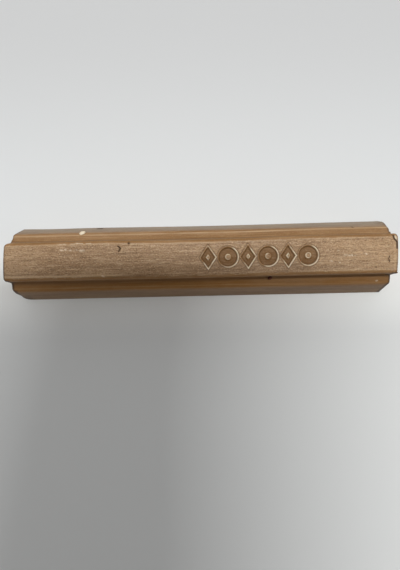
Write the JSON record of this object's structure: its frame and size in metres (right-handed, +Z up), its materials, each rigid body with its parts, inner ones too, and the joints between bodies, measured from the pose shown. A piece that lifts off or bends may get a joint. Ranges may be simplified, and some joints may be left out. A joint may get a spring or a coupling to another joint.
{
  "type": "furniture repair wax stick",
  "caption": "Stick of hard wax for filling scratches in furniture: a flat-based bar with a raised land, a rebate along each side and a row of ornament pressed into the land.",
  "frame": {"origin": "middle of the flat underside of the base", "axes": "+X along the stick towards the end with the stamped marks, +Y across the stick to the side that carries the pale flake, +Z up through the land"},
  "size_m": [0.0806, 0.016, 0.0095],
  "materials": {
    "tan_wax": "hard pigmented wax, scraped matte on the land and waxy smooth on the walls and flanks",
    "pale_wax": "pale cream hard wax, slightly translucent",
    "dark_wax": "dark red-brown hard wax, waxy sheen"
  },
  "bodies": {
    "root": {"wax_bar": "tan_wax", "pale_wax_flake": "pale_wax", "dark_wax_crumb": "dark_wax"}
  },
  "joints": []
}
